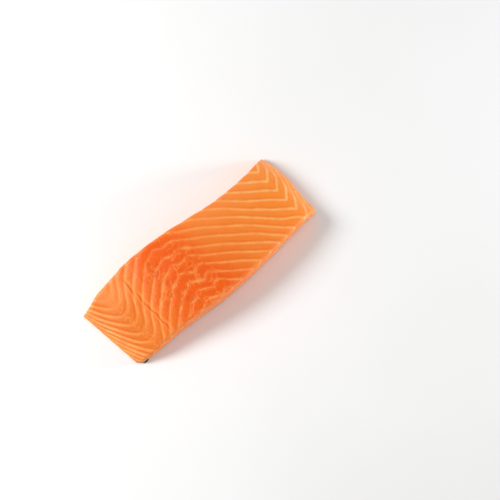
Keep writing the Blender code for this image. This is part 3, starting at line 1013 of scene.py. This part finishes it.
skin_finish, skin_look, skin_shader = new_finish("wet salmon skin")
skin_place = skin_look.out("ShaderNodeTexCoord", "Object")
skin_axes = skin_look.node("ShaderNodeSeparateXYZ", {"Vector": skin_place}).outputs
skin_cloud = skin_look.weigh(skin_look.noise(skin_place, 60.0, 3.0), 0.04, skin_axes["X"])
toward_back = skin_look.fade(skin_cloud, -0.02, 0.075, 0.0, 1.0)
spots = skin_look.out("ShaderNodeTexVoronoi", "Distance", {"Vector": skin_place, "Scale": SPOT_SCALE})
spotted = skin_look.fade(skin_cloud, 0.01, 0.05, 0.0, 0.85)
spots = skin_look.times(skin_look.fade(spots, 0.16, 0.26), spotted)
on_edge = skin_look.fade(skin_axes["Z"], 0.00024, 0.00036, 0.0, 1.0)
on_upper_side = skin_look.fade(skin_axes["Z"], 0.0007, 0.00088, 0.0, 1.0)
skin_washes = (
    (toward_back, BACK_GREY), (spots, SPOT), (on_edge, SKIN_EDGE), (on_upper_side, CORNER_BROWN),
)
skin_shine = skin_look.fade(skin_look.noise(skin_place, 500.0), 0.3, 0.7, 0.24, 0.4)
skin_grain = {"Height": skin_look.noise(skin_place, 1500.0), "Strength": 0.25, "Distance": 0.0001}
skin_look.fill(skin_shader, {
    "Base Color": washed(skin_look, SILVER, skin_washes), "Roughness": skin_shine,
    "Metallic": skin_look.fade(toward_back, 0.0, 1.0, 0.55, 0.1),
    "Coat Weight": 0.3, "Coat Roughness": 0.15,
    "Normal": skin_look.out("ShaderNodeBump", "Normal", skin_grain),
})
print("skin material has", len(skin_finish.node_tree.nodes), "nodes")

# %% [markdown]
# ## Scales under the skin
#
# Scales sit in staggered rows and overlap like roof tiles, always toward the tail. The tree lays a
# staggered grid of places under the sheet, looks straight up from each one, and keeps those that meet
# skin far enough from the cut. On each it sets a low round disc, tipped so that its rear edge lifts.

# %% Tree that lays the scales
SCALE_SIDES, SCALE_DEPTH = 12, 0.00008
scale_tree = tree_with_inputs("skin scales", (
    "Scale Radius", "Row Pitch", "Scale Pitch", "Tilt", "Edge Margin", "Length", "Width", "Height",
))
laying = Sketch(scale_tree)
asked = laying.node("NodeGroupInput").outputs


def count_along(length, pitch):
    """How many points at this pitch fit along a side."""
    return laying.math("ADD", laying.math("FLOOR", laying.math("DIVIDE", length, pitch)), 1.0)


row_count = count_along(asked["Width"], asked["Row Pitch"])
layout = laying.out("GeometryNodeMeshGrid", "Mesh", {
    "Size X": asked["Length"], "Vertices X": count_along(asked["Length"], asked["Scale Pitch"]),
    "Size Y": asked["Width"], "Vertices Y": row_count,
})
index = laying.out("GeometryNodeInputIndex", "Index")
odd_row = laying.math("FLOORED_MODULO", laying.math("FLOORED_MODULO", index, row_count), 2.0)
jitter = laying.out("FunctionNodeRandomValue", "Value", {
    0: (-0.00025, -0.00015, 0.0), 1: (0.00025, 0.00015, 0.0), "Seed": asked["Seed"],
}, data_type="FLOAT_VECTOR")
stagger = laying.vector(laying.times(odd_row, 0.5, asked["Scale Pitch"]), 0.0, asked["Height"])
staggered = laying.out("GeometryNodeSetPosition", "Geometry", {
    "Geometry": layout, "Offset": laying.shifted(stagger, jitter),
})

position = laying.out("GeometryNodeInputPosition", "Position")
look_up = laying.node("GeometryNodeRaycast", {
    "Target Geometry": asked["Geometry"], "Attribute": named(laying, "edge_mm"),
    "Source Position": laying.shifted(position, (0.0, 0.0, -0.002)),
    "Ray Direction": (0.0, 0.0, 1.0), "Ray Length": 0.01,
}, data_type="FLOAT").outputs
clear = laying.math("GREATER_THAN", look_up["Attribute"], asked["Edge Margin"])
dropped = laying.math("SUBTRACT", 1.0, laying.times(clear, look_up["Is Hit"]))
kept = laying.out("GeometryNodeDeleteGeometry", "Geometry", {
    "Geometry": staggered, "Selection": dropped,
}, domain="POINT")
print("scale tree has", len(scale_tree.nodes), "nodes that choose the places")

# %% Put a scale on each place and run the tree
disc = laying.out("GeometryNodeMeshCylinder", "Mesh", {
    "Vertices": SCALE_SIDES, "Side Segments": 1, "Fill Segments": 1,
    "Radius": asked["Scale Radius"], "Depth": SCALE_DEPTH,
}, fill_type="TRIANGLE_FAN")
sizes = laying.out("FunctionNodeRandomValue", 1, {
    2: 0.9, 3: 1.06, "Seed": asked["Seed"],
}, data_type="FLOAT")
scales = laying.out("GeometryNodeInstanceOnPoints", "Instances", {
    "Points": kept, "Instance": disc, "Rotation": laying.vector(asked["Tilt"], 0.0, 0.0), "Scale": sizes,
})
both = laying.node("GeometryNodeJoinGeometry")
for geometry in (scales, asked["Geometry"]):
    laying.feed(both.inputs["Geometry"], geometry)
end_tree(laying, both.outputs["Geometry"], asked["Finish"])

sheet_faces = len(skin_sheet.data.polygons)
skin = grow(skin_sheet, scale_tree, {
    "Scale Radius": 0.0021, "Row Pitch": 0.0026, "Scale Pitch": 0.0036, "Tilt": math.radians(3.0),
    "Edge Margin": 2.2, "Length": 0.2, "Width": 0.08, "Height": 0.00018,
    "Seed": SEED, "Finish": skin_finish,
})
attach(skin, "root")
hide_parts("skin")
print("skin faces:", len(skin.data.polygons))
print("scales laid:", (len(skin.data.polygons) - sheet_faces) // (3 * SCALE_SIDES))

# %% [markdown]
# ## Floor, light and camera
#
# The portion lies on a plain white ground in soft light from its far side, so its shadow is pale and
# falls toward the near side and the back end. A large area light gives the soft edge of the shadow, an
# even bright surround fills it, and a low lamp stands for a white card that lights the near face.

# %% Floor
GROUND_HALF = 3.0
ground_corners = [(GROUND_HALF * x, GROUND_HALF * y, 0) for x, y in ((-1, -1), (1, -1), (1, 1), (-1, 1))]
ground = mesh_piece("ground", ground_corners, [(0, 1, 2, 3)])
ground_finish, ground_look, ground_shader = new_finish("plain white ground")
ground_place = ground_look.out("ShaderNodeTexCoord", "Object")
tone = ground_look.fade(ground_look.noise(ground_place, 6.0, 3.0), 0.3, 0.7, 0.0, 1.0)
ground_white = blend(ground_look, tone, from_rgb(250, 250, 249), from_rgb(253, 253, 253))
ground_look.fill(ground_shader, {"Base Color": ground_white, "Roughness": 0.75})
ground.data.materials.append(ground_finish)
print("ground", 2 * GROUND_HALF, "m wide")

# %% Light
SURROUND_STRENGTH = 0.43
world = bpy.data.worlds.new("even surround")
world.use_nodes = True
surround = world.node_tree.nodes["Background"].inputs
surround["Color"].default_value = (1.0, 1.0, 1.0, 1.0)
surround["Strength"].default_value = SURROUND_STRENGTH
bpy.context.scene.world = world


def soft_lamp(name, place, size, energy):
    """A round area light that faces the middle of the ground."""
    data = bpy.data.lights.new(name, "AREA")
    data.shape = "DISK"
    data.size, data.energy = size, energy
    lamp = bpy.data.objects.new(name, data)
    lamp.location = place
    lamp.rotation_euler = place.to_track_quat("Z", "Y").to_euler()
    bpy.context.scene.collection.objects.link(lamp)
    return lamp


window = soft_lamp("window", Vector((-0.56, 0.52, 0.59)), 0.40, 8.0)
reflector = soft_lamp("reflector", Vector((0.72, -0.48, 0.12)), 0.22, 5.2)
bpy.context.scene.view_settings.view_transform = "Standard"
for lamp in (window, reflector):
    print(lamp.name, round(lamp.location.length, 2), "m away")

# %% [markdown]
# The camera looks down steeply, so that the long side of the portion runs up to the right of the
# picture. Its distance follows from how many millimetres one of the picture's 500 pixels covers.

# %% Camera
PICTURE_PIXELS = 500
LENS_MM, SENSOR_MM = 100.0, 36.0
METRES_PER_PIXEL = 0.000738
LOOK_AZIMUTH, LOOK_ELEVATION = math.radians(-42.0), math.radians(78.0)
LOOK_AT = Vector((0.03352, -0.01699, 0.0))

away = METRES_PER_PIXEL * PICTURE_PIXELS * LENS_MM / SENSOR_MM
level = math.cos(LOOK_ELEVATION)
toward_camera = Vector((
    math.sin(LOOK_AZIMUTH) * level, -math.cos(LOOK_AZIMUTH) * level, math.sin(LOOK_ELEVATION),
))
camera_data = bpy.data.cameras.new("camera")
camera_data.lens, camera_data.sensor_width = LENS_MM, SENSOR_MM
camera_data.clip_end = 20.0
camera = bpy.data.objects.new("camera", camera_data)
camera.location = LOOK_AT + toward_camera * away
camera.rotation_euler = toward_camera.to_track_quat("Z", "Y").to_euler()
bpy.context.scene.collection.objects.link(camera)
bpy.context.scene.camera = camera
print("camera", round(away, 3), "m away")
